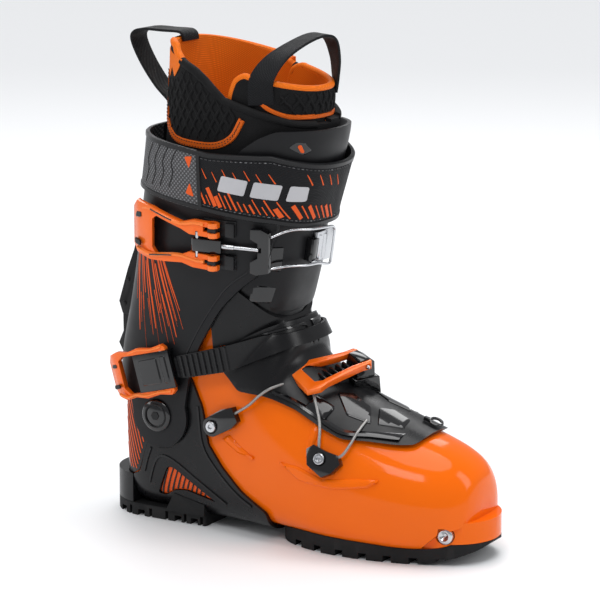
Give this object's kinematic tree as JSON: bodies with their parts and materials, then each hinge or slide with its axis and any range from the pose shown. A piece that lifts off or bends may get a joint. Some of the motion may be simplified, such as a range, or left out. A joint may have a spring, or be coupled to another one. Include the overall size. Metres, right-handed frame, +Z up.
{
  "type": "alpine ski boot",
  "caption": "Alpine touring ski boot: hard lower shell on a lugged sole, hinged cuff, two-part tongue, padded liner, buckles, cables and a walk lever.",
  "frame": {"origin": "on the ground under the cuff pivot, in the middle of the rubber heel block's underside", "axes": "+X towards the toe, +Y towards the inner (medial) side of a right boot, +Z up"},
  "size_m": [0.3105, 0.1247, 0.3579],
  "materials": {
    "sole_rubber": "black lugged rubber",
    "black_plastic": "black moulded plastic",
    "steel": "bright steel",
    "shell_orange": "glossy orange moulded plastic",
    "graphite_plastic": "dark grey moulded plastic with a satin face",
    "liner_fabric": "black padded liner fabric",
    "strap_webbing": "black woven webbing",
    "grey_mesh": "grey mesh fabric",
    "lever_orange": "orange anodised metal"
  },
  "bodies": {
    "foot": {"outsole_heel": "sole_rubber", "outsole_toe": "sole_rubber", "heel_welt": "black_plastic", "heel_insert": "steel", "lower_shell": "shell_orange", "toe_socket_lateral": "steel", "toe_socket_medial": "steel", "heel_cup": "graphite_plastic", "heel_frame": "graphite_plastic", "window_panel_lateral": "shell_orange", "window_panel_medial": "shell_orange", "boot_board": "black_plastic", "tongue_lower": "black_plastic", "tongue_gusset": "graphite_plastic", "pivot_bushing_lateral": "black_plastic", "pivot_bushing_medial": "black_plastic", "liner_foot": "liner_fabric", "anchor_rear": "black_plastic", "anchor_front": "black_plastic", "anchor_medial": "black_plastic", "anchor_screw_rear": "steel", "anchor_screw_front": "steel", "forefoot_base": "black_plastic", "forefoot_pin": "steel", "forefoot_rack": "black_plastic", "cable_rear": "steel", "cable_front": "steel", "cable_tongue": "steel", "cable_medial": "steel", "ankle_strap": "black_plastic", "heel_catch": "steel", "tongue_ring": "black_plastic"},
    "cuff": {"cuff": "graphite_plastic", "cuff_spine": "black_plastic", "tongue_shin": "graphite_plastic", "liner_shaft": "liner_fabric", "liner_tongue": "liner_fabric", "pull_loop_rear": "strap_webbing", "pull_loop_front": "strap_webbing", "power_strap": "strap_webbing", "strap_panel": "grey_mesh", "cuff_buckle_base": "black_plastic", "cuff_lever_pin_upper": "steel", "cuff_lever_pin_lower": "steel", "cuff_rack": "steel", "cuff_rack_block": "black_plastic", "ankle_housing": "black_plastic", "ankle_pin": "steel", "ankle_strap_rivet": "steel", "walk_bracket": "black_plastic"},
    "cuff_lever": {"cuff_buckle_lever": "lever_orange"},
    "bail": {"cuff_barrel_pin": "steel", "cuff_barrel": "black_plastic", "cuff_rod": "steel", "cuff_yoke": "black_plastic", "cuff_bail": "steel"},
    "ankle_lever": {"ankle_lever": "lever_orange"},
    "forefoot_lever": {"forefoot_lever": "lever_orange"},
    "walk_lever": {"walk_lever": "black_plastic"},
    "lock_bar": {"lock_bar": "black_plastic"}
  },
  "joints": [
    {"name": "cuff_hinge", "type": "hinge", "parent": "foot", "child": "cuff", "pos_m": [0, 0, 0.082], "axis": [0, 1, 0], "range_deg": [-20, 6]},
    {"name": "cuff_buckle_lever", "type": "hinge", "parent": "cuff", "child": "cuff_lever", "pos_m": [0.05564, -0.05873, 0.21326], "axis": [0.0853, -0.1201, 0.9891], "range_deg": [0, 90]},
    {"name": "cuff_bail_swing", "type": "hinge", "parent": "cuff_lever", "child": "bail", "pos_m": [0.04377, -0.06031, 0.21409], "axis": [0.0853, -0.1201, 0.9891], "range_deg": [-144, 0]},
    {"name": "ankle_lever", "type": "hinge", "parent": "cuff", "child": "ankle_lever", "pos_m": [0.01195, -0.05369, 0.1187], "axis": [-0.259, -0.0219, 0.9656], "range_deg": [0, 80]},
    {"name": "forefoot_lever", "type": "hinge", "parent": "foot", "child": "forefoot_lever", "pos_m": [0.136, 0.007, 0.128], "axis": [-0.876, 0.4016, 0.2672], "range_deg": [0, 100]},
    {"name": "walk_lever", "type": "hinge", "parent": "cuff", "child": "walk_lever", "pos_m": [-0.0495, 0, 0.17], "axis": [0, 1, 0], "range_deg": [-60, 0]},
    {"name": "lock_bar", "type": "hinge", "parent": "cuff", "child": "lock_bar", "pos_m": [-0.053, 0, 0.152], "axis": [0, 1, 0], "range_deg": [0, 24]}
  ],
  "couplings": [
    {"joint": "cuff_bail_swing", "follows": "cuff_buckle_lever", "ratio": -1.6},
    {"joint": "lock_bar", "follows": "walk_lever", "ratio": -0.4}
  ]
}
